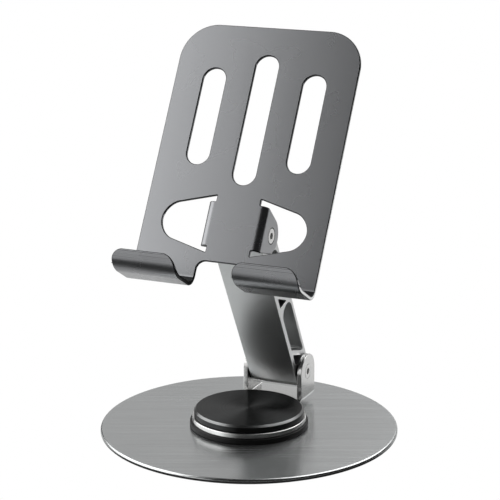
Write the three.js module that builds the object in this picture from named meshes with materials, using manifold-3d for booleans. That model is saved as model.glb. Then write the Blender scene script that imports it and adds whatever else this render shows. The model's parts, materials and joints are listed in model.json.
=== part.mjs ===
// A folding desk stand for a phone or tablet, in millimetres, +Z up.
// A round steel base carries a turntable with a U-shaped bracket, a hollow extruded arm pivots in
// the bracket, and a bent sheet cradle with two hooks pivots on the arm's upper end.
// The origin is the centre of the base pad's underside. The stand faces -Y, and its hinges lie along X.
import * as THREE from "three";
import { mergeVertices } from "three/addons/utils/BufferGeometryUtils.js";
import Module from "manifold-3d";

const wasm = await Module();
wasm.setup();

// Driving dimensions.
const fit = 0.05; // gap between pieces that touch
const running = 0.06; // gap between pieces that turn on each other
const past = 1; // how far a cutting tool reaches beyond what it cuts
const overlap = 0.6; // how far a bend runs into the flats beside it before they are joined

const baseRadius = 60;
const basePlate = 2;
const baseChamfer = 0.3;
const padRadius = 57;
const pad = 1;
const padHoleRadius = 8;

const turntableRadius = 23.1;
const bracketSheet = 2;
const slipRingRadius = 23.9; // the black plastic ring that the turntable turns on
const slipRing = 2;
const capRadius = 22.2;
const capTopRadius = 21.4;
const capHeight = 2.8;
const capRoof = 0.7;
const capHollowRadius = 9.2;
const capFootEdge = 0.2; // chamfer at the cap's lower edge
const tapeRadius = 21;
const tapeHoleRadius = 11;
const tape = 0.15;

const postRadius = 4;
const postHeadRadius = 6;
const nutAcrossFlats = 13;
const nut = 1.5;
const waveWasherRadius = 8;
const waveWasher = 0.3;

const earRadius = 7.3; // bracket ears, rounded about the lower hinge
const earInside = 11.05; // from the middle plane to a bracket or cradle ear's inner face
const bendRadius = 0.5; // inside radius of the bracket's bends
const neckStart = 8; // from the hub's axis, inside the disc that the neck is joined to
const hingeBehindHub = 31.2;
const hingeAboveBase = 14.5;

const armLength = 77; // between the two hinge axes
const armHalfWidth = 10.5;
const armHalfDepth = 6.6;
const armFrontWall = 2.4;
const armBackWall = 1.6;
const armLean = 29.6; // degrees forward of upright, as stored
const boreRadius = 3.7;
const bushRadius = 3.6;
const sleeveRadius = 2.5;
const sleeveShort = 0.2; // what a sleeve lacks to reach the far ear
const sleeveBore = 4; // how far a sleeve's bore runs on past the screw's tip
const washerRadius = 6.2;
const washer = 0.4;
const screwRadius = 1.6;
const screwHeadRadius = 3;
const sleeveHeadRadius = 3.4;
const screwClearance = 0.1;
const socketAcrossFlats = 2.5;
const socketDepth = 0.9;
const screwTip = 1; // from the middle plane

const sheet = 1.5; // cradle sheet
const cradleOpen = 59.7; // degrees that the cradle leans back from the arm's own line, as stored
const cradleHalfWidth = 38.5;
const cradleHeight = 97.25; // above the bottom edge between the hooks
const cradleCorner = 15;
const pinAboveEdge = 15.15; // upper hinge axis above that bottom edge
const pinBehindFace = 9.75; // and behind the cradle's front face
const slotHalfWidth = 4.94;
const slotSpacing = 21.36;
const middleSlot = [31.7, 85.5]; // lowest and highest point
const sideSlot = [38.4, 78.8];
const windowInside = 9.3; // the windows that the ears are folded out of
const windowHalfHeight = 11.6;
const windowTipCentre = 22.6;
const windowTipRadius = 7.85;
const cradleBend = 1; // inside radius where an ear folds back
const earRootHalf = 9.05;
const cradleEarRadius = 7.05;
const hookInside = 11.75;
const hookFillet = 3.5;
const hookBend = 3.5; // inside radius at the back of a hook
const shelfDrop = 9.6; // the hook's shelf below the bottom edge
const shelfEnd = 11.8; // where the lip starts to curl, in front of the face
const lipBend = 8.5; // inside radius of the lip
const lipTopDrop = 3.9;
const lipCorner = 5.2;

const fine = 96; // segments round the base
const medium = 64; // round the other discs
const small = 32; // round the hinges
const arcSteps = 10; // points on each curve of an outline

const degrees = Math.PI / 180;
const baseTop = pad + fit + basePlate;

// Materials.
const material = (color, roughness, metalness) =>
  new THREE.MeshStandardMaterial({ color, roughness, metalness });
const brushedSteel = material(0xa3a5a4, 0.35, 1);
const polishedSteel = material(0xc4c5c6, 0.2, 1);
const gunmetal = material(0x6d6e70, 0.3, 1);
const armAluminium = material(0xb4b6b6, 0.32, 1);
const blackAnodised = material(0x1b1c1c, 0.3, 0.8);
const blackPlastic = material(0x161616, 0.55, 0);
const blackRubber = material(0x1a1a1a, 0.85, 0);
const naturalPlastic = material(0xdad7cc, 0.5, 0);
const tapeBlack = material(0x111111, 0.9, 0);

// Helpers.
// A closed three.js geometry as a solid that can be joined and cut.
function solid(geometry) {
  const bare = geometry.clone();
  bare.deleteAttribute("normal");
  bare.deleteAttribute("uv");
  const merged = mergeVertices(bare, 1e-4);
  return new wasm.Manifold(
    new wasm.Mesh({
      numProp: 3,
      vertProperties: new Float32Array(merged.attributes.position.array),
      triVerts: new Uint32Array(merged.index.array),
    }),
  );
}

function geometryOf(made) {
  const mesh = made.getMesh();
  const geometry = new THREE.BufferGeometry();
  geometry.setAttribute("position", new THREE.BufferAttribute(mesh.vertProperties, 3));
  geometry.setIndex(new THREE.BufferAttribute(mesh.triVerts, 1));
  geometry.computeVertexNormals();
  return geometry;
}

const join = (...geometries) => geometryOf(geometries.map(solid).reduce((a, b) => a.add(b)));
const cut = (geometry, ...tools) =>
  geometryOf(tools.map(solid).reduce((a, b) => a.subtract(b), solid(geometry)));

// A closed profile of [radius, height] points turned about Z. The points run anticlockwise.
function turned(profile, segments) {
  const points = [...profile, profile[0]].map(([r, z]) => new THREE.Vector2(r, z));
  return new THREE.LatheGeometry(points, segments).rotateX(Math.PI / 2);
}

// The same about X: [radius, x] points.
function turnedAboutX(profile, segments) {
  const points = [...profile, profile[0]].map(([r, x]) => new THREE.Vector2(r, x));
  return new THREE.LatheGeometry(points, segments).rotateZ(-Math.PI / 2);
}

const ring = (outer, inner, low, high, segments) =>
  turned([[inner, low], [outer, low], [outer, high], [inner, high]], segments);

// A Y,Z outline extruded along X from x0 to x1.
function extrudeX(shape, x0, x1) {
  const alongX = new THREE.Matrix4().makeBasis(
    new THREE.Vector3(0, 1, 0),
    new THREE.Vector3(0, 0, 1),
    new THREE.Vector3(1, 0, 0),
  );
  return extrudeZ(shape, 0, x1 - x0).applyMatrix4(alongX).translate(x0, 0, 0);
}

function extrudeZ(shape, z0, z1) {
  const options = { depth: z1 - z0, bevelEnabled: false, curveSegments: arcSteps };
  return new THREE.ExtrudeGeometry(shape, options).translate(0, 0, z0);
}

// An X,Z outline extruded along Y from y0 to y1.
function extrudeY(shape, y0, y1) {
  return extrudeZ(shape, -y1, -y0).rotateX(Math.PI / 2);
}

// A polygon whose corners are rounded, each by its own radius or by one for all.
function rounded(corners, radius) {
  const path = new THREE.Shape();
  corners.forEach(([x, y], i) => {
    const here = new THREE.Vector2(x, y);
    const before = new THREE.Vector2(...corners.at(i - 1)).sub(here).normalize();
    const after = new THREE.Vector2(...corners[(i + 1) % corners.length]).sub(here).normalize();
    const half = Math.acos(before.dot(after)) / 2;
    const size = Array.isArray(radius) ? radius[i] : radius;
    if (size === 0) {
      if (i === 0) path.moveTo(x, y);
      else path.lineTo(x, y);
      return;
    }
    const start = here.clone().addScaledVector(before, size / Math.tan(half));
    const end = here.clone().addScaledVector(after, size / Math.tan(half));
    if (i === 0) path.moveTo(start.x, start.y);
    else path.lineTo(start.x, start.y);
    const middle = before.clone().add(after).normalize();
    const centre = here.clone().addScaledVector(middle, size / Math.sin(half));
    const from = start.clone().sub(centre).angle();
    const to = end.clone().sub(centre).angle();
    const turn = before.cross(after) > 0;
    path.absarc(centre.x, centre.y, size, from, to, turn);
  });
  path.closePath();
  return path;
}

function circle(x, y, radius) {
  const path = new THREE.Path();
  path.absarc(x, y, radius, 0, 2 * Math.PI, false);
  return path;
}

function mesh(name, geometry, finish) {
  const made = new THREE.Mesh(geometry, finish);
  made.name = name;
  return made;
}

// Base.
function basePlateGeometry() {
  const low = pad + fit;
  const r = baseRadius;
  const c = baseChamfer;
  return turned(
    [
      [postHeadRadius + running, low],
      [r - c, low],
      [r, low + c],
      [r, baseTop - c],
      [r - c, baseTop],
      [postRadius + running, baseTop],
    ],
    fine,
  );
}

function pivotPostGeometry() {
  const low = pad + fit;
  const top = baseTop + slipRing + bracketSheet + waveWasher + nut + 5 * fit;
  return turned(
    [[0, low], [postHeadRadius, low], [postRadius, baseTop], [postRadius, top], [0, top]],
    small,
  );
}

function pivotNutGeometry() {
  const low = baseTop + slipRing + bracketSheet + waveWasher + 4 * fit;
  const hexagon = new THREE.Shape();
  for (let i = 0; i < 6; i++) {
    const angle = (i * Math.PI) / 3;
    const reach = nutAcrossFlats / 2 / Math.cos(Math.PI / 6);
    const corner = [reach * Math.cos(angle), reach * Math.sin(angle)];
    if (i === 0) hexagon.moveTo(...corner);
    else hexagon.lineTo(...corner);
  }
  hexagon.closePath();
  hexagon.holes.push(circle(0, 0, postRadius + running));
  return extrudeZ(hexagon, low, low + nut);
}

function slipRingGeometry() {
  const low = baseTop + fit;
  return ring(slipRingRadius, postRadius + running, low, low + slipRing, medium);
}

// Turntable.
const plateLow = baseTop + slipRing + 2 * fit;
const plateTop = plateLow + bracketSheet;
const onPlate = plateTop + fit;
const hingeHeight = baseTop + hingeAboveBase;

// The tool for a countersunk hole along X, wide at an ear's outer face. It clears its screw all over.
function countersink(headRadius, shankRadius, outer) {
  const wide = headRadius + screwClearance;
  const narrow = shankRadius + screwClearance;
  return turnedAboutX(
    [
      [0, earInside - past],
      [narrow, earInside - past],
      [narrow, outer - (wide - narrow)],
      [wide + past, outer + past],
      [0, outer + past],
    ],
    small,
  );
}

function bracketGeometry() {
  const outside = earInside + bracketSheet;
  const foot = plateLow + bracketSheet + bendRadius;
  const disc = ring(turntableRadius, postRadius + running, plateLow, plateTop, medium);
  const front = hingeBehindHub - earRadius;
  const back = hingeBehindHub + earRadius;
  const floor = new THREE.Shape();
  floor.moveTo(-earInside + bendRadius, neckStart);
  floor.lineTo(earInside - bendRadius, neckStart);
  floor.lineTo(earInside - bendRadius, back);
  floor.lineTo(-earInside + bendRadius, back);
  floor.closePath();
  // Each side in section: the floor turns up through a quarter bend into the ear.
  const side = new THREE.Shape();
  const bendAt = earInside - bendRadius;
  side.moveTo(bendAt - overlap, plateLow);
  side.lineTo(bendAt, plateLow);
  side.absarc(bendAt, foot, bendRadius + bracketSheet, -Math.PI / 2, 0, false);
  side.lineTo(outside, foot + overlap);
  side.lineTo(earInside, foot + overlap);
  side.lineTo(earInside, foot);
  side.absarc(bendAt, foot, bendRadius, 0, -Math.PI / 2, true);
  side.lineTo(bendAt - overlap, plateTop);
  side.closePath();
  const ear = new THREE.Shape();
  ear.moveTo(front, foot);
  ear.lineTo(back, foot);
  ear.lineTo(back, hingeHeight);
  ear.absarc(hingeBehindHub, hingeHeight, earRadius, 0, Math.PI, false);
  ear.closePath();
  const bend = extrudeY(side, front, back);
  const mirrored = new THREE.Shape(side.getPoints(arcSteps).map((p) => new THREE.Vector2(-p.x, p.y)));
  const otherBend = extrudeY(mirrored, front, back);
  const rightEar = extrudeX(ear, earInside, outside);
  const leftEar = extrudeX(ear, -outside, -earInside);
  const whole = join(disc, extrudeZ(floor, plateLow, plateTop), bend, otherBend, rightEar, leftEar);
  const at = (tool) => tool.translate(0, hingeBehindHub, hingeHeight);
  const screwHole = at(countersink(screwHeadRadius, screwRadius, outside));
  const sleeveHole = at(countersink(sleeveHeadRadius, sleeveRadius, outside).rotateZ(Math.PI));
  return cut(whole, screwHole, sleeveHole);
}

const waveWasherGeometry = () =>
  ring(waveWasherRadius, postRadius + running, onPlate, onPlate + waveWasher, small);

function hubCapGeometry() {
  const low = plateTop + tape + 2 * fit;
  const top = low + capHeight;
  const bevel = capRadius - capTopRadius;
  return turned(
    [
      [capHollowRadius, low],
      [capRadius - capFootEdge, low],
      [capRadius, low + capFootEdge],
      [capRadius, top - bevel],
      [capTopRadius, top],
      [0, top],
      [0, top - capRoof],
      [capHollowRadius, top - capRoof],
    ],
    medium,
  );
}

// Hinges.
// A countersunk socket screw along X, its head flush with the outer face of an ear.
function hingeScrewGeometry(outer) {
  const wide = screwHeadRadius;
  const end = screwTip;
  const neck = outer - (wide - screwRadius);
  const body = turnedAboutX(
    [[0, end], [screwRadius, end], [screwRadius, neck], [wide, outer], [0, outer]],
    small,
  );
  const corner = socketAcrossFlats / 2 / Math.cos(Math.PI / 6);
  const socket = new THREE.CylinderGeometry(corner, corner, 2 * socketDepth, 6);
  return cut(body, socket.rotateZ(Math.PI / 2).translate(outer, 0, 0));
}

// The sleeve nut from the other side: a tube with a countersunk head and a blind threaded hole.
function hingeSleeveGeometry(outer) {
  const wide = sleeveHeadRadius;
  const end = earInside - sleeveShort;
  const blind = screwTip - sleeveBore;
  const r = sleeveRadius;
  const bore = screwRadius + screwClearance;
  return turnedAboutX(
    [
      [0, -outer],
      [wide, -outer],
      [r, -outer + (wide - r)],
      [r, end],
      [bore, end],
      [bore, blind],
      [0, blind],
    ],
    small,
  );
}

const washerGeometry = (side) => {
  const x0 = side > 0 ? armHalfWidth + fit : -armHalfWidth - fit - washer;
  const b = sleeveRadius + 2 * running;
  const x1 = x0 + washer;
  return turnedAboutX([[b, x0], [washerRadius, x0], [washerRadius, x1], [b, x1]], small);
};

const bushGeometry = () =>
  turnedAboutX(
    [
      [sleeveRadius + running, -armHalfWidth],
      [bushRadius, -armHalfWidth],
      [bushRadius, armHalfWidth],
      [sleeveRadius + running, armHalfWidth],
    ],
    small,
  );

// Arm.
// The extrusion's section, in the arm's own frame: Y to the back, Z along the arm from the lower hinge.
function armGeometry() {
  const d = armHalfDepth;
  const section = new THREE.Shape();
  section.moveTo(d, 0);
  section.lineTo(d, armLength);
  section.absarc(0, armLength, d, 0, Math.PI, false);
  section.lineTo(-d, 0);
  section.absarc(0, 0, d, Math.PI, 2 * Math.PI, false);
  // Pockets run right through, with slanting webs between them. The front wall is the thicker one.
  const front = -d + armFrontWall;
  const back = d - armBackWall;
  const lowerNook = [[front, 13.6], [front, 8.4], [-1.6, 5.4], [2.6, 6.6]];
  const lowerPocket = [[front, 16.5], [back, 7.3], [back, 37.8], [front, 37.8]];
  const middleNook = [[front, 46.2], [front, 40.6], [2.4, 39]];
  const upperPocket = [[front, 49.2], [back, 40], [back, 67], [front, 67]];
  section.holes.push(rounded(lowerNook, [0.5, 0.8, 0.8, 0.4]));
  section.holes.push(rounded(lowerPocket, [1, 0.8, 4.2, 4.2]));
  section.holes.push(rounded(middleNook, [0.5, 1, 0.5]));
  section.holes.push(rounded(upperPocket, [1, 0.8, 4.2, 4.2]));
  section.holes.push(circle(0, 0, boreRadius));
  section.holes.push(circle(0, armLength, boreRadius));
  return extrudeX(section, -armHalfWidth, armHalfWidth);
}

// Cradle.
// Built in its own frame: X across, Y up the sheet from its bottom edge, Z out of its front face.
function cradleSheet() {
  const w = cradleHalfWidth;
  const h = cradleHeight;
  const tangent = -shelfDrop + hookBend; // where the hooks' back bend starts
  const outline = new THREE.Shape();
  outline.moveTo(-w, tangent);
  outline.lineTo(-hookInside, tangent);
  outline.lineTo(-hookInside, -hookFillet);
  outline.absarc(-hookInside + hookFillet, -hookFillet, hookFillet, Math.PI, Math.PI / 2, true);
  outline.absarc(hookInside - hookFillet, -hookFillet, hookFillet, Math.PI / 2, 0, true);
  outline.lineTo(hookInside, tangent);
  outline.lineTo(w, tangent);
  outline.absarc(w - cradleCorner, h - cradleCorner, cradleCorner, 0, Math.PI / 2, false);
  outline.absarc(-w + cradleCorner, h - cradleCorner, cradleCorner, Math.PI / 2, Math.PI, false);
  outline.closePath();
  outline.holes.push(slot(0, middleSlot), slot(-slotSpacing, sideSlot), slot(slotSpacing, sideSlot));
  outline.holes.push(window(1), window(-1));
  return extrudeZ(outline, -sheet, 0);
}

function slot(x, [low, high]) {
  const r = slotHalfWidth;
  const path = new THREE.Path();
  path.absarc(x, high - r, r, 0, Math.PI, false);
  path.absarc(x, low + r, r, Math.PI, 2 * Math.PI, false);
  path.closePath();
  return path;
}

// The window that an ear was folded out of, with a relief notch at each end of the fold.
function window(side) {
  const middle = pinAboveEdge;
  const fold = earInside - cradleBend; // where the flat sheet ends
  const reach = windowTipCentre - windowInside;
  const slope = Math.asin(
    (windowHalfHeight - windowTipRadius) / Math.hypot(reach, windowHalfHeight - windowTipRadius),
  );
  const path = new THREE.Path();
  path.moveTo(side * windowInside, middle + windowHalfHeight);
  const from = Math.PI / 2 - slope;
  for (let i = 0; i <= 2 * arcSteps; i++) {
    const angle = from - (2 * from * i) / (2 * arcSteps);
    const x = windowTipCentre + windowTipRadius * Math.cos(angle);
    path.lineTo(side * x, middle + windowTipRadius * Math.sin(angle));
  }
  path.lineTo(side * windowInside, middle - windowHalfHeight);
  path.lineTo(side * windowInside, middle - earRootHalf);
  path.lineTo(side * fold, middle - earRootHalf);
  path.lineTo(side * fold, middle + earRootHalf);
  path.lineTo(side * windowInside, middle + earRootHalf);
  path.closePath();
  return path;
}

// An ear: a quarter bend out of the sheet, then a tab that narrows to a round end about the hinge.
function cradleEar(side) {
  const middle = pinAboveEdge;
  const outer = earInside + sheet;
  const r = cradleBend;
  const bendAt = outer - (r + sheet);
  const bendSection = new THREE.Shape(); // X,Z
  bendSection.moveTo(side * (bendAt - overlap), -sheet);
  bendSection.lineTo(side * (bendAt - overlap), 0);
  for (let i = 0; i <= arcSteps; i++) {
    const angle = Math.PI / 2 - (Math.PI / 2) * (i / arcSteps);
    const reach = r + sheet;
    bendSection.lineTo(side * (bendAt + reach * Math.cos(angle)), -reach + reach * Math.sin(angle));
  }
  bendSection.lineTo(side * outer, -r - sheet - overlap);
  bendSection.lineTo(side * earInside, -r - sheet - overlap);
  for (let i = 0; i <= arcSteps; i++) {
    const angle = (Math.PI / 2) * (i / arcSteps);
    bendSection.lineTo(side * (bendAt + r * Math.cos(angle)), -r - sheet + r * Math.sin(angle));
  }
  bendSection.closePath();
  // extrudeY puts the outline's second axis on Z, as the section needs.
  const bend = extrudeY(bendSection, middle - earRootHalf, middle + earRootHalf);
  const tab = new THREE.Shape(); // Y,Z
  const start = -r - sheet;
  const lean = Math.asin((earRootHalf - cradleEarRadius) / (pinBehindFace + start));
  tab.moveTo(middle + earRootHalf, start);
  tab.lineTo(middle - earRootHalf, start);
  for (let i = 0; i <= 2 * arcSteps; i++) {
    const angle = Math.PI + lean + ((Math.PI - 2 * lean) * i) / (2 * arcSteps);
    tab.lineTo(
      middle + cradleEarRadius * Math.cos(angle),
      -pinBehindFace + cradleEarRadius * Math.sin(angle),
    );
  }
  tab.closePath();
  const x = side > 0 ? [earInside, outer] : [-outer, -earInside];
  return [bend, extrudeX(tab, ...x)];
}

// A hook in section, [Y, Z]: down the sheet, a quarter bend, the shelf, and the lip's curl.
function hookGeometry(side) {
  const start = -shelfDrop + hookBend;
  const lipCentre = -shelfDrop + lipBend;
  const lipEnd = (radius) => Math.PI - Math.acos((lipCentre + lipTopDrop) / radius);
  const outer = lipBend + sheet;
  const section = new THREE.Shape();
  section.moveTo(start + overlap, -sheet);
  section.lineTo(start, -sheet);
  section.absarc(start, hookBend, hookBend + sheet, -Math.PI / 2, -Math.PI, true);
  section.absarc(lipCentre, shelfEnd, outer, Math.PI, lipEnd(outer), true);
  section.absarc(lipCentre, shelfEnd, lipBend, lipEnd(lipBend), Math.PI, false);
  section.absarc(start, hookBend, hookBend, Math.PI, (3 * Math.PI) / 2, false);
  section.lineTo(start + overlap, 0);
  section.closePath();
  const x = side > 0 ? [hookInside, cradleHalfWidth] : [-cradleHalfWidth, -hookInside];
  const strip = extrudeX(section, ...x);
  // The lip's two top corners are rounded.
  const corners = x.map((edge, i) => {
    const inward = i === 0 ? 1 : -1;
    const tool = new THREE.Shape();
    tool.moveTo(edge - inward * past, -lipTopDrop + past);
    tool.lineTo(edge + inward * lipCorner, -lipTopDrop + past);
    for (let k = 0; k <= arcSteps; k++) {
      const angle = (Math.PI / 2) * (k / arcSteps);
      tool.lineTo(
        edge + inward * lipCorner * (1 - Math.sin(angle)),
        -lipTopDrop - lipCorner * (1 - Math.cos(angle)),
      );
    }
    tool.lineTo(edge - inward * past, -lipTopDrop - lipCorner);
    tool.closePath();
    return extrudeZ(tool, shelfEnd - past, shelfEnd + lipBend + sheet + past);
  });
  return cut(strip, ...corners);
}

function cradleGeometry() {
  const pieces = [cradleSheet(), ...cradleEar(1), ...cradleEar(-1), hookGeometry(1), hookGeometry(-1)];
  const outer = earInside + sheet;
  const at = (tool) => tool.translate(0, pinAboveEdge, -pinBehindFace);
  const screwHole = at(countersink(screwHeadRadius, screwRadius, outer));
  const sleeveHole = at(countersink(sleeveHeadRadius, sleeveRadius, outer).rotateZ(Math.PI));
  return cut(join(...pieces), screwHole, sleeveHole).translate(0, -pinAboveEdge, pinBehindFace);
}

// Assembly.
const stand = new THREE.Group();
stand.add(
  mesh("base_pad", ring(padRadius, padHoleRadius, 0, pad, medium), blackRubber),
  mesh("base_plate", basePlateGeometry(), brushedSteel),
  mesh("pivot_post", pivotPostGeometry(), polishedSteel),
  mesh("slip_ring", slipRingGeometry(), blackPlastic),
  mesh("pivot_nut", pivotNutGeometry(), polishedSteel),
);

const turntable = new THREE.Group();
turntable.add(
  mesh("turntable_bracket", bracketGeometry(), polishedSteel),
  mesh("wave_washer", waveWasherGeometry(), polishedSteel),
  mesh("cap_tape", ring(tapeRadius, tapeHoleRadius, onPlate, onPlate + tape, medium), tapeBlack),
  mesh("hub_cap", hubCapGeometry(), blackAnodised),
);
const lowerHinge = new THREE.Group();
lowerHinge.position.set(0, hingeBehindHub, hingeHeight);
lowerHinge.add(
  mesh("lower_hinge_sleeve", hingeSleeveGeometry(earInside + bracketSheet), polishedSteel),
  mesh("lower_hinge_screw", hingeScrewGeometry(earInside + bracketSheet), polishedSteel),
);

const arm = new THREE.Group();
arm.position.copy(lowerHinge.position);
arm.rotation.x = armLean * degrees;
arm.add(mesh("arm", armGeometry(), armAluminium));

const upperEnd = new THREE.Group();
upperEnd.position.z = armLength;
for (const [end, group] of [["lower", arm], ["upper", upperEnd]]) {
  group.add(
    mesh(`${end}_bush`, bushGeometry(), naturalPlastic),
    mesh(`${end}_washer_right`, washerGeometry(1), blackPlastic),
    mesh(`${end}_washer_left`, washerGeometry(-1), blackPlastic),
  );
}

const cradle = new THREE.Group();
cradle.rotation.x = Math.PI / 2 - cradleOpen * degrees;
cradle.add(
  mesh("cradle", cradleGeometry(), gunmetal),
  mesh("upper_hinge_sleeve", hingeSleeveGeometry(earInside + sheet), polishedSteel),
  mesh("upper_hinge_screw", hingeScrewGeometry(earInside + sheet), polishedSteel),
);

upperEnd.add(cradle);
arm.add(upperEnd);
turntable.add(lowerHinge, arm);
stand.add(turntable);

export default stand;
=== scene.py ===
import json
import math

import bmesh
import bpy
from mathutils import Matrix, Quaternion, Vector


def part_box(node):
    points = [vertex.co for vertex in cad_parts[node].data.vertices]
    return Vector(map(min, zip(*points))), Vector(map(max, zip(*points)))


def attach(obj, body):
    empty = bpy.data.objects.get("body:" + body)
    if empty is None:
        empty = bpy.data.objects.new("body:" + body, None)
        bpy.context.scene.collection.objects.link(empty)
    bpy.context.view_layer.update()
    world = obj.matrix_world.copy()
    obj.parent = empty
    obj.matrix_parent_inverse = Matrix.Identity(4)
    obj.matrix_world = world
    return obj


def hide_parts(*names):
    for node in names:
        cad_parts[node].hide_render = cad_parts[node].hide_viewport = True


# A folding tablet stand. Pieces are modelled in millimetres and brought to metres as they go in place.
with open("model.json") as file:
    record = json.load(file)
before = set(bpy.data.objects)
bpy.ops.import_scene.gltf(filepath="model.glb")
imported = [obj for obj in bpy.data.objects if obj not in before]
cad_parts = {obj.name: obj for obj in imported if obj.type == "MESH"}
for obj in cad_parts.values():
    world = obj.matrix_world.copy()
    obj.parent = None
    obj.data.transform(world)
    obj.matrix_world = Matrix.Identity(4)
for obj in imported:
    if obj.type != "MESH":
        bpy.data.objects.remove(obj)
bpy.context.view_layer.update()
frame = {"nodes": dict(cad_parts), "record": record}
record = frame["record"]
joints = {joint["name"]: joint for joint in record["behaviour"]["joints"]}
mounts = {mount["name"]: mount for mount in record["mounts"]}
mm = 0.001
degrees = math.pi / 180
close = 0.02  # two places nearer to each other than this are taken as the same
past = 1  # how far a cutting tool reaches beyond what it cuts
sliver = 0.005  # what a round over a whole side leaves flat, so that it doesn't fold over itself


# Where things are, from the frame.
def extent(node):
    # lowest and highest corner of a CAD node in millimetres
    low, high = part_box(node)
    return Vector(low) / mm, Vector(high) / mm


lowerPin = Vector(joints["lower_hinge"]["pos_m"]) / mm
upperPin = Vector(joints["upper_hinge"]["pos_m"]) / mm
armLine = upperPin - lowerPin
armLean = math.atan2(-armLine.y, armLine.z)
cradleFront = Vector(mounts["device_back_rest"]["axis"])
cradleUp = Vector((0, cradleFront.z, -cradleFront.y))
pinBehindFace = (Vector(mounts["device_back_rest"]["pos_m"]) / mm - upperPin).dot(cradleFront)


# Modelling helpers.
def pick(obj, kind, test):
    # in edit mode, selects the vertices, edges or faces that the test says
    bpy.ops.mesh.select_mode(type=kind)
    bpy.ops.mesh.select_all(action="DESELECT")
    mesh = bmesh.from_edit_mesh(obj.data)
    for part in {"VERT": mesh.verts, "EDGE": mesh.edges, "FACE": mesh.faces}[kind]:
        if test(part):
            part.select_set(True)
    mesh.select_flush_mode()
    bmesh.update_edit_mesh(obj.data)


def middle(edge):
    return (edge.verts[0].co + edge.verts[1].co) / 2


def along(edge, axis):
    # whether an edge runs along that axis
    return abs((edge.verts[1].co - edge.verts[0].co).normalized()[axis]) > 0.99


def near(a, b):
    return abs(a - b) < close


def editing(obj):
    bpy.ops.object.select_all(action="DESELECT")
    obj.select_set(True)
    bpy.context.view_layer.objects.active = obj
    bpy.ops.object.mode_set(mode="EDIT")


def finished():
    bpy.ops.object.mode_set(mode="OBJECT")


def cube(name, low, high):
    low, high = Vector(low), Vector(high)
    bpy.ops.object.select_all(action="DESELECT")
    bpy.ops.mesh.primitive_cube_add(size=1, location=(low + high) / 2, scale=high - low)
    bpy.ops.object.transform_apply(location=True, rotation=True, scale=True)
    bpy.context.object.name = name
    return bpy.context.object


def rod(name, axis, radius, low, high, sides=64, tip=None):
    # a cylinder, or a cone where tip gives the far end's radius, along X or Z
    bpy.ops.object.select_all(action="DESELECT")
    bpy.ops.mesh.primitive_cone_add(
        vertices=sides,
        radius1=radius,
        radius2=radius if tip is None else tip,
        depth=high - low,
        location=(0, 0, (low + high) / 2),
    )
    bpy.ops.object.transform_apply(location=True, rotation=True, scale=True)
    obj = bpy.context.object
    if axis == "X":
        obj.matrix_world = Matrix.Rotation(math.pi / 2, 4, "Y")
        bpy.ops.object.transform_apply(location=True, rotation=True, scale=True)
    obj.name = name
    return obj


def shift(obj, x, y, z):
    bpy.ops.object.select_all(action="DESELECT")
    obj.select_set(True)
    bpy.context.view_layer.objects.active = obj
    obj.location = (x, y, z)
    bpy.ops.object.transform_apply(location=True, rotation=True, scale=True)
    return obj


def roundEdges(obj, test, width, segments):
    editing(obj)
    pick(obj, "EDGE", test)
    bpy.ops.mesh.bevel(offset=width, segments=segments, profile=0.5, affect="EDGES", clamp_overlap=False)
    finished()


def apply(obj, kind, **settings):
    # adds a modifier with its settings and applies it
    bpy.ops.object.select_all(action="DESELECT")
    obj.select_set(True)
    bpy.context.view_layer.objects.active = obj
    modifier = obj.modifiers.new(kind.lower(), kind)
    for key, value in settings.items():
        setattr(modifier, key, value)
    bpy.ops.object.modifier_apply(modifier=modifier.name)


def combine(obj, tool, operation="DIFFERENCE"):
    apply(obj, "BOOLEAN", object=tool, operation=operation, solver="EXACT")
    bpy.data.objects.remove(tool)


def mirrored(obj, name):
    # a copy on the other side of the middle plane, its faces turned right side out
    copy = obj.copy()
    copy.data = obj.data.copy()
    copy.name = name
    bpy.context.collection.objects.link(copy)
    bpy.ops.object.select_all(action="DESELECT")
    copy.select_set(True)
    bpy.context.view_layer.objects.active = copy
    copy.scale = (-1, 1, 1)
    bpy.ops.object.transform_apply(location=True, rotation=True, scale=True)
    bpy.ops.object.mode_set(mode="EDIT")
    bpy.ops.mesh.select_all(action="SELECT")
    bpy.ops.mesh.normals_make_consistent(inside=False)
    finished()
    return copy


def prism(name, corners, x0, x1, radii):
    # a Y,Z outline drawn corner by corner and pulled along X, its corners rounded
    bpy.ops.object.select_all(action="DESELECT")
    bpy.ops.mesh.primitive_circle_add(vertices=len(corners), radius=1, fill_type="NGON")
    obj = bpy.context.object
    obj.name = name
    editing(obj)
    mesh = bmesh.from_edit_mesh(obj.data)
    starts = [vert.co.copy() for vert in mesh.verts]
    aside = 50  # keeps the corners already placed clear of the ones still to come
    for start, (y, z) in zip(starts, corners):
        pick(obj, "VERT", lambda vert: (vert.co - start).length < 1e-5)
        bpy.ops.transform.translate(value=Vector((x0 - aside, y, z)) - start)
    bpy.ops.mesh.select_all(action="SELECT")
    bpy.ops.transform.translate(value=(aside, 0, 0))
    bpy.ops.mesh.extrude_region_move(TRANSFORM_OT_translate={"value": (x1 - x0, 0, 0)})
    bpy.ops.mesh.select_all(action="SELECT")
    bpy.ops.mesh.normals_make_consistent(inside=False)
    for i, (y, z) in enumerate(corners):
        before = (Vector(corners[i - 1]) - Vector(corners[i])).normalized()
        after = (Vector(corners[(i + 1) % len(corners)]) - Vector(corners[i])).normalized()
        width = radii[i] / math.tan(before.angle(after) / 2)
        at = Vector((0, y, z))
        pick(obj, "EDGE", lambda e: along(e, 0) and (middle(e) * Vector((0, 1, 1)) - at).length < close / 2)
        bpy.ops.mesh.bevel(offset=width, segments=10, profile=0.5, affect="EDGES", clamp_overlap=False)
    finished()
    return obj


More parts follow.
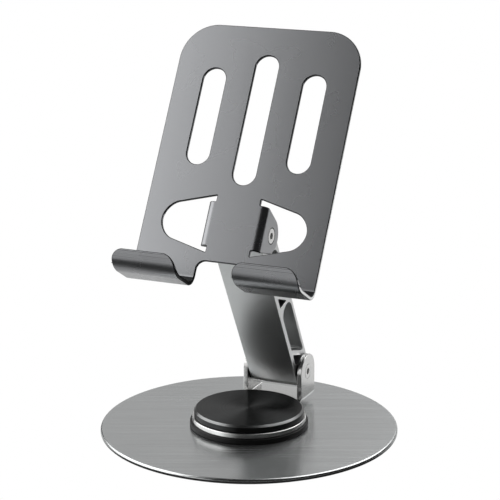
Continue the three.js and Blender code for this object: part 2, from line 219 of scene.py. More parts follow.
def ring(name, axis, outer, inner, low, high, sides=96):
    # a rod whose two ends are inset and bridged into a bore
    obj = rod(name, axis, outer, low, high, sides)
    index = {"X": 0, "Z": 2}[axis]
    editing(obj)
    pick(obj, "FACE", lambda face: abs(face.normal[index]) > 0.99)
    bpy.ops.mesh.inset(thickness=outer - inner)
    bpy.ops.mesh.delete(type="FACE")
    pick(obj, "EDGE", lambda edge: all(radial(vert.co, index) < inner + close for vert in edge.verts))
    bpy.ops.mesh.bridge_edge_loops()
    bpy.ops.mesh.select_all(action="SELECT")
    bpy.ops.mesh.normals_make_consistent(inside=False)
    finished()
    return obj


def radial(point, index):
    # distance from the axis of that index
    return math.sqrt(sum(point[i] ** 2 for i in range(3) if i != index))


def soften(obj, width, segments=2, angle=38, material=-1):
    # the small round that every real edge has, with flat faces left flat
    apply(
        obj,
        "BEVEL",
        width=width,
        segments=segments,
        limit_method="ANGLE",
        angle_limit=angle * degrees,
        use_clamp_overlap=False,
        miter_outer="MITER_ARC",
        material=material,
    )
    bpy.ops.object.shade_smooth()
    apply(obj, "WEIGHTED_NORMAL", weight=50, keep_sharp=False)


def paint(obj, index, test):
    # gives the faces that the test says another of the piece's materials
    for face in obj.data.polygons:
        if test(face):
            face.material_index = index


def place(obj, matrix, material, body, nodes):
    # brings a finished piece to metres and to its place, hangs it on its body and hides the CAD nodes it
    # stands for
    bpy.ops.object.select_all(action="DESELECT")
    obj.select_set(True)
    bpy.context.view_layer.objects.active = obj
    obj.matrix_world = Matrix.Scale(mm, 4) @ matrix
    bpy.ops.object.transform_apply(location=True, rotation=True, scale=True)
    if not obj.data.materials:
        obj.data.materials.append(material)
    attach(obj, body)
    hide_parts(*nodes)


standing = Matrix.Identity(4)
atLowerPin = Matrix.Translation(lowerPin)
alongArm = Matrix.Translation(lowerPin) @ Matrix.Rotation(armLean, 4, "X")
onCradle = Matrix.Translation(upperPin) @ Matrix((
    (1, 0, 0, 0),
    (0, cradleUp.y, cradleFront.y, 0),
    (0, cradleUp.z, cradleFront.z, 0),
    (0, 0, 0, 1),
))


# Materials.
def linear(code):
    # an sRGB hex colour as the linear values that sockets take
    values = [int(code[i : i + 2], 16) / 255 for i in (1, 3, 5)]
    return [v / 12.92 if v <= 0.04045 else ((v + 0.055) / 1.055) ** 2.4 for v in values] + [1]


def startMaterial(name):
    material = bpy.data.materials.new(name)
    material.use_nodes = True
    material.node_tree.nodes.clear()
    return material, material.node_tree


def add(tree, kind, settings=None, links=None):
    # a node with its settings and its links; a setting that names a socket fills that socket
    node = tree.nodes.new(kind)
    for key, value in (settings or {}).items():
        if isinstance(key, int) or key in node.inputs:
            node.inputs[key].default_value = value
        else:
            setattr(node, key, value)
    for key, source in (links or {}).items():
        tree.links.new(source, node.inputs[key])
    return node


def blend(tree, factor, first, second):
    # from one hex colour to another; the two are a Mix node's inputs 6 and 7, and the result its output 2
    mix = add(tree, "ShaderNodeMix", {"data_type": "RGBA", 6: linear(first), 7: linear(second)}, {0: factor})
    return mix.outputs[2]


def brushedSteel():
    # Stainless sheet brushed one way. The fine lines stretch every reflection across them and leave
    # faint light and dark streaks, drawn about eight times as wide as the real 0.1 mm so they show.
    material, tree = startMaterial("brushed_stainless_steel")
    spot = add(tree, "ShaderNodeTexCoord").outputs["Object"]
    turn = 24 * degrees  # the base stands with its brushing turned from the stand's own left and right
    lines = add(
        tree,
        "ShaderNodeMapping",
        {"vector_type": "TEXTURE", "Rotation": (0, 0, turn), "Scale": (1 / 14, 1 / 1300, 1 / 1300)},
        {"Vector": spot},
    )
    grain = add(
        tree, "ShaderNodeTexNoise", {"Scale": 1, "Detail": 4, "Roughness": 0.7}, {"Vector": lines.outputs[0]}
    )
    cloud = add(tree, "ShaderNodeTexNoise", {"Scale": 22, "Detail": 2}, {"Vector": spot})
    mixed = add(
        tree,
        "ShaderNodeMath",
        {"operation": "MULTIPLY_ADD", 1: 0.7},
        {0: grain.outputs[0], 2: cloud.outputs[0]},
    )
    rough = add(
        tree,
        "ShaderNodeMapRange",
        {"From Min": 0.6, "From Max": 1.1, "To Min": 0.18, "To Max": 0.28},
        {"Value": mixed.outputs[0]},
    )
    tone = blend(tree, grain.outputs[0], "#a0a2a2", "#d3d5d5")
    bump = add(tree, "ShaderNodeBump", {"Strength": 0.05, "Distance": 0.00002}, {"Height": grain.outputs[0]})
    across = add(tree, "ShaderNodeCombineXYZ", {0: -math.sin(turn), 1: math.cos(turn)})
    shader = add(
        tree,
        "ShaderNodeBsdfPrincipled",
        {"Metallic": 1, "Anisotropic": 0.5},
        {
            "Base Color": tone,
            "Roughness": rough.outputs[0],
            "Normal": bump.outputs[0],
            "Tangent": across.outputs[0],
        },
    )
    add(tree, "ShaderNodeOutputMaterial", {}, {"Surface": shader.outputs[0]})
    return material


def satinMetal(name, code, low, high):
    # Metal blasted or etched dull before it is plated or anodised. Its grain, drawn 0.4 mm wide and so
    # coarser than the real one, softens what it reflects. Handling marks some 30 mm wide make it a
    # little duller in one place than in another: low and high are the roughness they wander between.
    material, tree = startMaterial(name)
    spot = add(tree, "ShaderNodeTexCoord").outputs["Object"]
    grain = add(tree, "ShaderNodeTexNoise", {"Scale": 2500, "Detail": 2}, {"Vector": spot})
    patches = add(tree, "ShaderNodeTexNoise", {"Scale": 35, "Detail": 3}, {"Vector": spot})
    rough = add(tree, "ShaderNodeMapRange", {"To Min": low, "To Max": high}, {"Value": patches.outputs[0]})
    bump = add(tree, "ShaderNodeBump", {"Strength": 0.03, "Distance": 0.00002}, {"Height": grain.outputs[0]})
    shader = add(
        tree,
        "ShaderNodeBsdfPrincipled",
        {"Base Color": linear(code), "Metallic": 1},
        {"Roughness": rough.outputs[0], "Normal": bump.outputs[0]},
    )
    add(tree, "ShaderNodeOutputMaterial", {}, {"Surface": shader.outputs[0]})
    return material


def turnedBlack():
    # Black anodised aluminium, face-turned in fine rings, its chamfer cut bright afterwards. The rings
    # draw each lamp out into a fan of light that meets the others at the centre. Their pitch is drawn
    # as 0.7 mm, three times the real one, so that they show.
    material, tree = startMaterial("turned_black_anodised_aluminium")
    spot = add(tree, "ShaderNodeTexCoord").outputs["Object"]
    flat = add(tree, "ShaderNodeVectorMath", {"operation": "MULTIPLY", 1: (1, 1, 0)}, {0: spot})
    reach = add(tree, "ShaderNodeVectorMath", {"operation": "LENGTH"}, {0: flat.outputs[0]}).outputs["Value"]
    turns = add(tree, "ShaderNodeMath", {"operation": "MULTIPLY", 1: 9000}, {0: reach})
    rise = add(tree, "ShaderNodeMath", {"operation": "SINE"}, {0: turns.outputs[0]})
    wander = add(tree, "ShaderNodeTexNoise", {"noise_dimensions": "1D", "Scale": 1400}, {"W": reach})
    height = add(tree, "ShaderNodeMath", {"operation": "ADD"}, {0: rise.outputs[0], 1: wander.outputs[0]})
    bump = add(tree, "ShaderNodeBump", {"Strength": 0.12, "Distance": 0.00002}, {"Height": height.outputs[0]})
    rough = add(tree, "ShaderNodeMapRange", {"To Min": 0.3, "To Max": 0.42}, {"Value": wander.outputs[0]})
    chamfer = add(
        tree,
        "ShaderNodeMath",
        {"operation": "COMPARE", 1: cap["chamferAt"] * mm, 2: cap["chamfer"] / 2 * mm},
        {0: reach},
    )
    tone = blend(tree, chamfer.outputs[0], "#343535", "#808181")
    around = add(tree, "ShaderNodeTangent", {"direction_type": "RADIAL", "axis": "Z"})
    shader = add(
        tree,
        "ShaderNodeBsdfPrincipled",
        {
            "Metallic": 1,
            "Anisotropic": 0.9,
            "Anisotropic Rotation": 0.25,
            "Specular Tint": (0.8, 0.8, 0.8, 1),
        },
        {
            "Base Color": tone,
            "Roughness": rough.outputs[0],
            "Normal": bump.outputs[0],
            "Tangent": around.outputs[0],
        },
    )
    add(tree, "ShaderNodeOutputMaterial", {}, {"Surface": shader.outputs[0]})
    return material


def plastic(name, code, rough, shine=0.5):
    # Moulded plastic or rubber with the grain of a spark-worn mould, drawn half a millimetre wide and so
    # coarser than the real one. It breaks the shine into a soft dull sheen. shine is how strongly the
    # surface reflects.
    material, tree = startMaterial(name)
    spot = add(tree, "ShaderNodeTexCoord").outputs["Object"]
    grain = add(tree, "ShaderNodeTexNoise", {"Scale": 1800, "Detail": 2}, {"Vector": spot})
    spread = add(
        tree,
        "ShaderNodeMapRange",
        {"To Min": rough - 0.06, "To Max": rough + 0.06},
        {"Value": grain.outputs[0]},
    )
    bump = add(tree, "ShaderNodeBump", {"Strength": 0.2, "Distance": 0.00003}, {"Height": grain.outputs[0]})
    shader = add(
        tree,
        "ShaderNodeBsdfPrincipled",
        {"Base Color": linear(code), "Specular IOR Level": shine},
        {"Roughness": spread.outputs[0], "Normal": bump.outputs[0]},
    )
    add(tree, "ShaderNodeOutputMaterial", {}, {"Surface": shader.outputs[0]})
    return material


cap = {
    "chamfer": 0.8,
    "chamferAt": 21.78,  # radius of the chamfer's middle
    "hollow": 9.2,  # radius
    "hollowDepth": 2.1,
    "edge": 0.08,
    "sides": 256,
}

steel = brushedSteel()
plated = satinMetal("satin_nickel_plated_steel", "#cfcfce", 0.2, 0.3)  # pale, warm, the clearest mirror
gunmetal = satinMetal("gunmetal_anodised_aluminium", "#8b8c8e", 0.26, 0.29)  # mid grey, even all over
armMetal = satinMetal("satin_anodised_aluminium", "#bebfbf", 0.3, 0.36)  # silver grey, the dullest
highlightEdge = satinMetal("painted_highlight_edge", "#dcdddd", 0.22, 0.3)  # painted highlight, nearly white, on the sheet's outer sides and the hooks' outer ends
shadeEdge = satinMetal("painted_shade_edge", "#242526", 0.3, 0.4)  # painted shade, nearly black, on the cradle's rounded edges, down-facing walls and hook insides
capMetal = turnedBlack()
nylonBlack = plastic("moulded_black_nylon", "#0a0a0a", 0.5, 0.25)  # deep black with a faint sheen
nylonWhite = plastic("moulded_natural_nylon", "#d9d6cb", 0.45)  # undyed, ivory
rubber = plastic("moulded_black_rubber", "#1b1b1b", 0.8)  # dark grey, no sheen at all
print("materials made")


# Base.
base = {
    "chamfer": 0.9,
    "sides": 256,
    "hole": 6.1,
    "padHole": 8,
    "padEdge": 0.15,
    "ringEdge": 0.25,
    "post": 4,
    "postHead": 2,
    "postEdge": 0.1,
    "postHole": 4.1,  # in what turns round the post
}


def makeBase():
    low, high = extent("base_plate")
    plate = ring("base_plate_piece", "Z", high.x, base["hole"], low.z, high.z, base["sides"])
    soften(plate, base["chamfer"], 5)
    place(plate, standing, steel, "base", ["base_plate"])
    low, high = extent("base_pad")
    pad = ring("base_pad_piece", "Z", high.x, base["padHole"], low.z, high.z, 128)
    soften(pad, base["padEdge"])
    place(pad, standing, rubber, "base", ["base_pad"])
    low, high = extent("slip_ring")
    slip = ring("slip_ring_piece", "Z", high.x, base["postHole"], low.z, high.z, 160)
    soften(slip, base["ringEdge"], 3)
    place(slip, standing, nylonBlack, "base", ["slip_ring"])
    low, high = extent("pivot_post")
    head = base["postHead"]
    post = rod("pivot_post_piece", "Z", high.x, low.z, low.z + head, 64, tip=base["post"])
    editing(post)
    pick(post, "FACE", lambda face: face.normal.z > 0.9)
    bpy.ops.mesh.extrude_region_move(TRANSFORM_OT_translate={"value": (0, 0, high.z - low.z - head)})
    finished()
    soften(post, base["postEdge"])
    place(post, standing, plated, "base", ["pivot_post"])


makeBase()
print("base made")


# Turntable: bracket, cap.
bracket = {
    "sheet": 2,
    "neckFrom": 8,
    "earInside": 11.05,
    "bend": 0.5,  # inside radius
    "earRadius": 7.3,
    "rim": 0.4,  # round of the disc's upper rim
    "edge": 0.18,
}
hingeHoles = ((1, 3.1, 1.4), (-1, 3.5, 0.9))  # side, radius at the outer face, depth of the cone


def countersunk(side, outer, head, depth):
    # the tool for a countersunk hole: narrow through the ear, then a cone that is wide at its outer face
    narrow = head - depth
    tool = rod("countersink", "X", narrow, outer - 2 * bracket["sheet"], outer - depth, 64)
    editing(tool)
    pick(tool, "FACE", lambda face: face.normal.x > 0.9)
    bpy.ops.mesh.extrude_region_move(TRANSFORM_OT_translate={"value": (depth + past, 0, 0)})
    grow = (head + past) / narrow
    bpy.ops.transform.resize(value=(1, grow, grow))
    finished()
    if side < 0:
        copy = mirrored(tool, "countersink_left")
        bpy.data.objects.remove(tool)
        tool = copy
    return tool


def bracketEars(plate, sheet, bottom, front, back, top):
    # the two sides turn up through a quarter bend into ears with half-round tops
    flat = bracket["earInside"] - bracket["bend"]
    for side in (1, -1):
        editing(plate)
        atSide = lambda f: f.normal.x * side > 0.99 and near(f.calc_center_median().x, side * flat)
        pick(plate, "FACE", lambda f: atSide(f) and f.calc_center_median().y > front)
        bpy.ops.mesh.spin(
            steps=8,
            angle=math.pi / 2 * side,
            center=(side * flat, 0, bottom + sheet + bracket["bend"]),
            axis=(0, 1, 0),
        )
        rise = top - (bottom + sheet + bracket["bend"])
        bpy.ops.mesh.extrude_region_move(TRANSFORM_OT_translate={"value": (0, 0, rise)})
        pick(plate, "EDGE", lambda e: along(e, 0) and near(middle(e).z, top) and middle(e).x * side > 0)
        width = bracket["earRadius"] - 2 * sliver
        bpy.ops.mesh.bevel(offset=width, segments=18, profile=0.5, affect="EDGES", clamp_overlap=False)
        finished()


def makeBracket():
    low, high = extent("turntable_bracket")
    sheet = bracket["sheet"]
    plateRadius = high.x
    flat = bracket["earInside"] - bracket["bend"]
    front = lowerPin.y - bracket["earRadius"]
    back = lowerPin.y + bracket["earRadius"]
    neck = cube("turntable_bracket_piece", (-flat, bracket["neckFrom"], low.z), (flat, back, low.z + sheet))
    editing(neck)
    bpy.ops.mesh.select_all(action="SELECT")
    bpy.ops.mesh.bisect(plane_co=(0, front, 0), plane_no=(0, 1, 0))
    finished()
    bracketEars(neck, sheet, low.z, front, back, high.z)
    disc = rod("bracket_disc", "Z", plateRadius, low.z, low.z + sheet, 192)
    rim = low.z + sheet
    roundEdges(disc, lambda e: near(e.verts[0].co.z, rim) and near(e.verts[1].co.z, rim), bracket["rim"], 4)
    combine(neck, disc, "UNION")
    combine(neck, rod("post_hole", "Z", base["postHole"], low.z - past, rim + past, 64))
    outer = bracket["earInside"] + sheet
    for side, head, depth in hingeHoles:
        combine(neck, shift(countersunk(side, outer, head, depth), 0, lowerPin.y, lowerPin.z))
    soften(neck, bracket["edge"])
    place(neck, standing, plated, "turntable", ["turntable_bracket"])


def makeCap():
    low, high = extent("hub_cap")
    disc = rod("hub_cap_piece", "Z", high.x, low.z, high.z, cap["sides"])
    editing(disc)
    pick(disc, "FACE", lambda face: face.normal.z < -0.9)
    bpy.ops.mesh.inset(thickness=high.x - cap["hollow"])
    bpy.ops.mesh.extrude_region_move(TRANSFORM_OT_translate={"value": (0, 0, cap["hollowDepth"])})
    finished()
    top = high.z
    roundEdges(disc, lambda e: near(e.verts[0].co.z, top) and near(e.verts[1].co.z, top), cap["chamfer"], 1)
    soften(disc, cap["edge"], 2, 30)
    place(disc, standing, capMetal, "turntable", ["hub_cap"])


makeBracket()
makeCap()
print("turntable made")


# Hinges.
hinge = {
    "screw": 1.6,  # radius, as the next three
    "head": 3,
    "sleeve": 2.5,
    "sleeveHead": 3.4,
    "screwTip": 1,  # from the middle plane
    "sleeveShort": 0.2,  # what a sleeve lacks to reach the far ear
    "sleeveBore": 13.8,  # depth
    "play": 0.1,  # between screw and sleeve
    "socketAcross": 2.5,
    "socketDepth": 0.9,
    "bush": 3.6,  # radius
    "bushPlay": 0.06,
    "washerPlay": 0.12,
    "edge": 0.07,
    "bushEdge": 0.1,
    "washerEdge": 0.06,
}


def makeScrew(name, outer, matrix, body):
    depth = hinge["head"] - hinge["screw"]
    screw = rod(name + "_piece", "X", hinge["screw"], hinge["screwTip"], outer - depth, 48)
    editing(screw)
    pick(screw, "FACE", lambda face: face.normal.x > 0.9)
    bpy.ops.mesh.extrude_region_move(TRANSFORM_OT_translate={"value": (depth, 0, 0)})
    grow = hinge["head"] / hinge["screw"]
    bpy.ops.transform.resize(value=(1, grow, grow))
    finished()
    corner = hinge["socketAcross"] / 2 / math.cos(math.pi / 6)
    combine(screw, rod("socket", "X", corner, outer - hinge["socketDepth"], outer + past, 6))
    soften(screw, hinge["edge"])
    place(screw, matrix, plated, body, [name])


def makeSleeve(name, outer, matrix, body):
    depth = hinge["sleeveHead"] - hinge["sleeve"]
    end = bracket["earInside"] - hinge["sleeveShort"]
    sleeve = rod(name + "_piece", "X", hinge["sleeve"], -outer + depth, end, 48)
    editing(sleeve)
    pick(sleeve, "FACE", lambda face: face.normal.x > 0.9)
    bpy.ops.mesh.inset(thickness=hinge["sleeve"] - hinge["screw"] - hinge["play"])
    bpy.ops.mesh.extrude_region_move(TRANSFORM_OT_translate={"value": (-hinge["sleeveBore"], 0, 0)})
    pick(sleeve, "FACE", lambda face: face.normal.x < -0.9)
    bpy.ops.mesh.extrude_region_move(TRANSFORM_OT_translate={"value": (-depth, 0, 0)})
    grow = hinge["sleeveHead"] / hinge["sleeve"]
    bpy.ops.transform.resize(value=(1, grow, grow))
    finished()
    soften(sleeve, hinge["edge"])
    place(sleeve, matrix, plated, body, [name])


def makeBushes(end, matrix):
    low, high = extent(end + "_bush")
    bore = hinge["sleeve"] + hinge["bushPlay"]
    bush = ring(end + "_bush_piece", "X", hinge["bush"], bore, low.x, high.x, 48)
    soften(bush, hinge["bushEdge"])
    place(bush, matrix, nylonWhite, "arm", [end + "_bush"])
    for side in ("left", "right"):
        node = end + "_washer_" + side
        low, high = extent(node)
        bore = hinge["sleeve"] + hinge["washerPlay"]
        washer = ring(node + "_piece", "X", (high.z - low.z) / 2, bore, low.x, high.x, 64)
        soften(washer, hinge["washerEdge"])
        place(washer, matrix, nylonBlack, "arm", [node])


atUpperPin = Matrix.Translation(upperPin)
makeScrew("lower_hinge_screw", extent("lower_hinge_screw")[1].x, atLowerPin, "turntable")
makeSleeve("lower_hinge_sleeve", -extent("lower_hinge_sleeve")[0].x, atLowerPin, "turntable")
makeScrew("upper_hinge_screw", extent("upper_hinge_screw")[1].x, atUpperPin, "cradle")
makeSleeve("upper_hinge_sleeve", -extent("upper_hinge_sleeve")[0].x, atUpperPin, "cradle")
makeBushes("lower", atLowerPin)
makeBushes("upper", atUpperPin)
print("hinges made")


# Arm.
arm = {"halfDepth": 6.6, "frontWall": 2.4, "backWall": 1.6, "bore": 3.7, "edge": 0.15}


def makeArm():
    low, high = extent("arm")
    length = armLine.length
    d = arm["halfDepth"]
    piece = cube("arm_piece", (low.x, -d, -d), (high.x, d, length + d))
    roundEdges(piece, lambda e: along(e, 0), d - sliver, 20)
    front = -d + arm["frontWall"]
    back = d - arm["backWall"]
    # corners of the through pockets as depth and distance up from the lower pin, and each corner's radius
    pockets = (
        (((front, 13.6), (front, 8.4), (-1.6, 5.4), (2.6, 6.6)), (0.5, 0.8, 0.8, 0.4)),
        (((front, 16.5), (back, 7.3), (back, 37.8), (front, 37.8)), (1, 0.8, 4.2, 4.2)),
        (((front, 46.2), (front, 40.6), (2.4, 39)), (0.5, 1, 0.5)),
        (((front, 49.2), (back, 40), (back, 67), (front, 67)), (1, 0.8, 4.2, 4.2)),
    )
    for corners, radii in pockets:
        combine(piece, prism("pocket", corners, low.x - past, high.x + past, radii))
    for z in (0, length):
        bore = rod("bore", "X", arm["bore"], low.x - past, high.x + past, 64)
        combine(piece, shift(bore, 0, 0, z))
    soften(piece, arm["edge"])
    place(piece, alongArm, armMetal, "arm", ["arm"])


makeArm()
print("arm made")


# Cradle.
cradle = {
    "sheet": 1.5,
    "pinAboveEdge": 15.15,
    "height": 97.25,
    "corner": 15,
    "slotHalfWidth": 4.94,
    "slotSpacing": 21.36,
    "middleSlot": (31.7, 85.5),
    "sideSlot": (38.4, 78.8),
    "windowInside": 9.3,
    "windowHalfHeight": 11.6,
    "windowTip": 30.45,
    "windowTipHalfHeight": 6.03,
    "windowCorner": 0.3,
    "earRootHalf": 9.05,
    "earEndHalf": 5.51,
    "earRadius": 7.05,
    "earBend": 1,
    "hookInside": 11.75,
    "hookFillet": 3.5,
    "hookBend": 3.5,
    "shelfDrop": 9.6,
    "shelfEnd": 11.8,
    "lipBend": 8.5,
    "lipTopDrop": 3.9,
    "lipCorner": 5.2,
    "cornerLift": 0.06,  # how far a lip corner's arc would pass over the lip's top
    "edge": 0.3,
}
highlightFace, shadedFace = 1, 2  # places in the cradle's list of materials: the painted highlight and the painted shade


def hooks(plate, half):
    # a hook on each side: down the sheet, a quarter bend, a short shelf, and the long curl of the lip
    c = cradle
    bendAt = -c["shelfDrop"] + c["hookBend"]
    editing(plate)
    pick(plate, "FACE", lambda f: f.normal.y < -0.99 and abs(f.calc_center_median().x) > c["hookInside"])
    bpy.ops.mesh.extrude_region_move(TRANSFORM_OT_translate={"value": (0, bendAt, 0)})
    inside = lambda e: near(middle(e).y, 0) and near(abs(middle(e).x), c["hookInside"])
    pick(plate, "EDGE", lambda e: along(e, 2) and inside(e))
    bpy.ops.mesh.bevel(offset=c["hookFillet"], segments=12, profile=0.5, affect="EDGES", clamp_overlap=False)
    pick(plate, "FACE", lambda f: f.normal.y < -0.99 and near(f.calc_center_median().y, bendAt))
    bpy.ops.mesh.spin(steps=12, angle=math.pi / 2, center=(0, bendAt, c["hookBend"]), axis=(1, 0, 0))
    shelf = c["shelfEnd"] - c["hookBend"]
    bpy.ops.mesh.extrude_region_move(TRANSFORM_OT_translate={"value": (0, 0, shelf)})
    lipCentre = -c["shelfDrop"] + c["lipBend"]
    turn = math.acos((lipCentre + c["lipTopDrop"]) / (c["lipBend"] + c["sheet"]))
    bpy.ops.mesh.spin(steps=20, angle=turn, center=(0, lipCentre, c["shelfEnd"]), axis=(1, 0, 0))
    finished()
    top = -c["lipTopDrop"]
    beyond = c["shelfEnd"] + c["lipBend"] + c["sheet"] + past
    combine(plate, cube("lip_top", (-half - past, top, c["shelfEnd"]), (half + past, top + past, beyond)))
    for side in (1, -1):
        for edge, inward in ((c["hookInside"], 1), (half, -1)):
            combine(plate, lipCornerTool(side * edge, side * inward))


def lipCornerTool(edge, inward):
    # what is cut off at a lip's top corner: a square less a quarter disc
    c = cradle
    r = c["lipCorner"]
    top = -c["lipTopDrop"]
    inner = edge + inward * r
    outer = edge - inward
    nearSide = c["shelfEnd"] + past / 2
    far = c["shelfEnd"] + c["lipBend"] + c["sheet"] + past
    tool = cube("lip_corner", (min(inner, outer), top - r, nearSide), (max(inner, outer), top + past, far))
    disc = rod("lip_disc", "Z", r, nearSide - past, far + past, 96)
    combine(tool, shift(disc, inner, top - r + c["cornerLift"], 0))
    return tool


def ear():
    # one ear, bent back from the sheet, on the right
    c = cradle
    inner = bracket["earInside"]
    bendAt = inner - c["earBend"]
    middleY = c["pinAboveEdge"]
    piece = cube(
        "cradle_ear",
        (bendAt - c["sheet"], middleY - c["earRootHalf"], -c["sheet"]),
        (bendAt, middleY + c["earRootHalf"], 0),
    )
    editing(piece)
    pick(piece, "FACE", lambda f: f.normal.x > 0.99)
    start = -c["earBend"] - c["sheet"]
    bpy.ops.mesh.spin(steps=10, angle=-math.pi / 2, center=(bendAt, 0, start), axis=(0, 1, 0))
    end = -pinBehindFace - c["earRadius"]
    bpy.ops.mesh.extrude_region_move(TRANSFORM_OT_translate={"value": (0, 0, end - start)})
    bpy.ops.transform.resize(
        value=(1, c["earEndHalf"] / c["earRootHalf"], 1), center_override=(0, middleY, 0)
    )
    pick(piece, "EDGE", lambda e: along(e, 0) and near(middle(e).z, end))
    width = c["earEndHalf"] - 2 * sliver
    bpy.ops.mesh.bevel(offset=width, segments=20, profile=0.5, affect="EDGES", clamp_overlap=False)
    finished()
    return piece


def slot(x, span):
    # the tool for one long slot with round ends
    c = cradle
    r = c["slotHalfWidth"]
    tool = cube("slot", (x - r, span[0], -c["sheet"] - past), (x + r, span[1], past))
    roundEdges(tool, lambda e: along(e, 2), r - sliver, 20)
    return tool


def window():
    # the opening that the right ear was folded out of: it narrows to a round tip
    c = cradle
    y = c["pinAboveEdge"]
    h = c["windowHalfHeight"]
    tool = cube("window", (c["windowInside"], y - h, -c["sheet"] - past), (c["windowTip"], y + h, past))
    editing(tool)
    pick(tool, "FACE", lambda f: f.normal.x > 0.99)
    bpy.ops.transform.resize(value=(1, c["windowTipHalfHeight"] / h, 1), center_override=(0, y, 0))
    pick(tool, "EDGE", lambda e: along(e, 2) and near(middle(e).x, c["windowTip"]))
    tip = c["windowTipHalfHeight"] - 2 * sliver
    bpy.ops.mesh.bevel(offset=tip, segments=20, profile=0.5, affect="EDGES", clamp_overlap=False)
    pick(tool, "EDGE", lambda e: along(e, 2) and near(middle(e).x, c["windowInside"]))
    bpy.ops.mesh.bevel(offset=c["windowCorner"], segments=3, profile=0.5, affect="EDGES", clamp_overlap=False)
    finished()
    return tool


def makeCradle():
    c = cradle
    half = extent("cradle")[1].x
    plate = cube("cradle_piece", (-half, 0, -c["sheet"]), (half, c["height"], 0))
    editing(plate)
    for x in (-c["hookInside"], c["hookInside"]):
        bpy.ops.mesh.select_all(action="SELECT")
        bpy.ops.mesh.bisect(plane_co=(x, 0, 0), plane_no=(1, 0, 0))
    finished()
    corners = lambda e: along(e, 2) and near(middle(e).y, c["height"]) and near(abs(middle(e).x), half)
    roundEdges(plate, corners, c["corner"], 28)
    hooks(plate, half)
    opening = window()
    combine(plate, mirrored(opening, "window_left"))
    combine(plate, opening)
    combine(plate, slot(0, c["middleSlot"]))
    for x in (-c["slotSpacing"], c["slotSpacing"]):
        combine(plate, slot(x, c["sideSlot"]))
    rightEar = ear()
    leftEar = mirrored(rightEar, "cradle_ear_left")
    combine(plate, rightEar, "UNION")
    combine(plate, leftEar, "UNION")
    outer = bracket["earInside"] + c["sheet"]
    for side, head, depth in hingeHoles:
        combine(plate, shift(countersunk(side, outer, head, depth), 0, c["pinAboveEdge"], -pinBehindFace))
    for shown in (gunmetal, highlightEdge, shadeEdge):
        plate.data.materials.append(shown)
    # the cradle's rounded edges all take the painted shade
    soften(plate, c["edge"], material=shadedFace)
    faceDown = lambda f: f.normal.y < -0.3 and abs(f.normal.z) < 0.3 and -c["sheet"] < f.center.z < 0
    inHook = lambda f: f.normal.y > 0.3 and f.center.y < -c["lipTopDrop"] - 1
    atSide = lambda f, x: abs(f.normal.x) > 0.95 and near(abs(f.center.x), x)
    # painted shade on the walls that face down, the inside of the hooks and the hooks' inner sides
    paint(plate, shadedFace, lambda f: faceDown(f) or inHook(f) or atSide(f, c["hookInside"]))
    # a painted highlight on the sheet's outer sides and the hooks' outer ends
    paint(plate, highlightFace, lambda f: atSide(f, half))
    shift(plate, 0, -c["pinAboveEdge"], pinBehindFace)
    place(plate, onCradle, gunmetal, "cradle", ["cradle"])


makeCradle()
print("cradle made")

# Inner pieces that the CAD shapes already show rightly.
for node, material in (("pivot_nut", plated), ("wave_washer", plated), ("cap_tape", nylonBlack)):
    shown = frame["nodes"][node]
    shown.data.materials.clear()
    shown.data.materials.append(material)


# Studio.
studio = {
    "azimuth": 23.728,
    "elevation": 15.031,
    "lens": 133.458,
    "sensor": 36,
    "cameraAt": (284.81, -646.98, 262.67),  # from the base's top, in millimetres
    "floorColour": "#dcdcdc",
    "shadeColour": "#2a2a2a",
    "shadeAt": -0.055,  # metres behind the middle of the stand, seen from the camera
    "shadeReach": (0.02, 0.05),
    "floorRadius": 0.5,
    "floorCentre": (0.12, 0.33, 0),  # it ends a little in front of the stand, so the lips show a dark line
    "aim": 0.08,  # height that the softboxes face
    "surroundings": 0.03,
    # compass angle, elevation, distance, width, height, turn in its own plane, radiance
    "softboxes": {
        "softbox_left": (74, 28, 1.0, 1.4, 1.5, 46, 2.25),
        "softbox_low": (28, -5, 1.0, 0.8, 1.1, 0, 0.9),
        "softbox_back": (170, 18, 1.2, 1.6, 0.8, 0, 0.58),
        "softbox_side": (120, 46, 1.0, 0.45, 0.5, 0, 2),
        "softbox_rear": (207, 50, 0.5, 0.5, 0.5, 0, 3.2),
    },
}


def makeCamera():
    data = bpy.data.cameras.new("camera")
    camera = bpy.data.objects.new("camera", data)
    bpy.context.collection.objects.link(camera)
    data.sensor_width = studio["sensor"]
    data.lens = studio["lens"]
    data.clip_start = 0.01
    data.clip_end = 50
    top = extent("base_plate")[1].z
    camera.location = (Vector(studio["cameraAt"]) + Vector((0, 0, top))) * mm
    camera.rotation_euler = (math.pi / 2 - studio["elevation"] * degrees, 0, studio["azimuth"] * degrees)
    bpy.context.scene.camera = camera


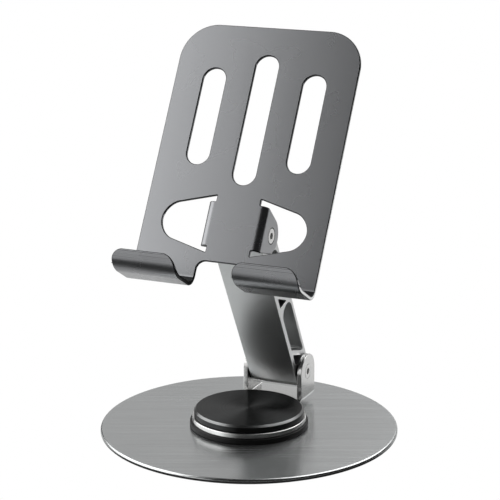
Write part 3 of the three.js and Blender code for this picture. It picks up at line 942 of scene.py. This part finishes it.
def makeFloor():
    bpy.ops.object.select_all(action="DESELECT")
    bpy.ops.mesh.primitive_circle_add(
        vertices=128, radius=studio["floorRadius"], fill_type="NGON", location=studio["floorCentre"]
    )
    bpy.ops.object.transform_apply(location=True, rotation=True, scale=True)
    floor = bpy.context.object
    floor.name = "floor"
    material, tree = startMaterial("matt_white_floor")
    turned = add(
        tree,
        "ShaderNodeMapping",
        {"Rotation": (0, 0, -studio["azimuth"] * degrees)},
        {"Vector": add(tree, "ShaderNodeTexCoord").outputs["Object"]},
    )
    apart = add(tree, "ShaderNodeSeparateXYZ", {}, {"Vector": turned.outputs[0]})
    away = add(
        tree, "ShaderNodeMath", {"operation": "SUBTRACT", 1: studio["shadeAt"]}, {0: apart.outputs["Y"]}
    )
    span = add(tree, "ShaderNodeMath", {"operation": "ABSOLUTE"}, {0: away.outputs[0]})
    inner, outer = studio["shadeReach"]
    shade = add(
        tree, "ShaderNodeMapRange", {"From Min": inner, "From Max": outer}, {"Value": span.outputs[0]}
    )
    colour = blend(tree, shade.outputs[0], studio["shadeColour"], studio["floorColour"])
    board = add(tree, "ShaderNodeBsdfPrincipled", {"Roughness": 0.9}, {"Base Color": colour})
    white = add(tree, "ShaderNodeEmission", {"Strength": 1})
    path = add(tree, "ShaderNodeLightPath")
    both = add(
        tree,
        "ShaderNodeMixShader",
        {},
        {0: path.outputs["Is Camera Ray"], 1: board.outputs[0], 2: white.outputs[0]},
    )
    add(tree, "ShaderNodeOutputMaterial", {}, {"Surface": both.outputs[0]})
    floor.data.materials.append(material)


def softbox(name, around, elevation, distance, width, height, turn, radiance):
    # a flat light that faces the stand. around is its compass angle, 0 in front and 90 on the left
    data = bpy.data.lights.new(name, "AREA")
    data.shape = "RECTANGLE"
    data.size = width
    data.size_y = height
    data.energy = radiance * math.pi * width * height
    light = bpy.data.objects.new(name, data)
    a, e = around * degrees, elevation * degrees
    away = Vector((-math.sin(a) * math.cos(e), -math.cos(a) * math.cos(e), math.sin(e)))
    light.location = Vector((0, 0, studio["aim"])) + away * distance
    facing = away.to_track_quat("Z", "Y") @ Quaternion((0, 0, 1), turn * degrees)
    light.rotation_euler = facing.to_euler()
    light.visible_camera = False
    bpy.context.collection.objects.link(light)


def makeLights():
    world = bpy.data.worlds.new("studio_world")
    bpy.context.scene.world = world
    world.use_nodes = True
    tree = world.node_tree
    tree.nodes.clear()
    around = add(tree, "ShaderNodeBackground", {"Color": (1, 1, 1, 1), "Strength": studio["surroundings"]})
    behind = add(tree, "ShaderNodeBackground", {"Color": (1, 1, 1, 1), "Strength": 1})
    path = add(tree, "ShaderNodeLightPath")
    both = add(
        tree,
        "ShaderNodeMixShader",
        {},
        {0: path.outputs["Is Camera Ray"], 1: around.outputs[0], 2: behind.outputs[0]},
    )
    add(tree, "ShaderNodeOutputWorld", {}, {"Surface": both.outputs[0]})
    for name, values in studio["softboxes"].items():
        softbox(name, *values)


makeCamera()
makeFloor()
makeLights()
bpy.context.scene.view_settings.view_transform = "Standard"
print("studio made")
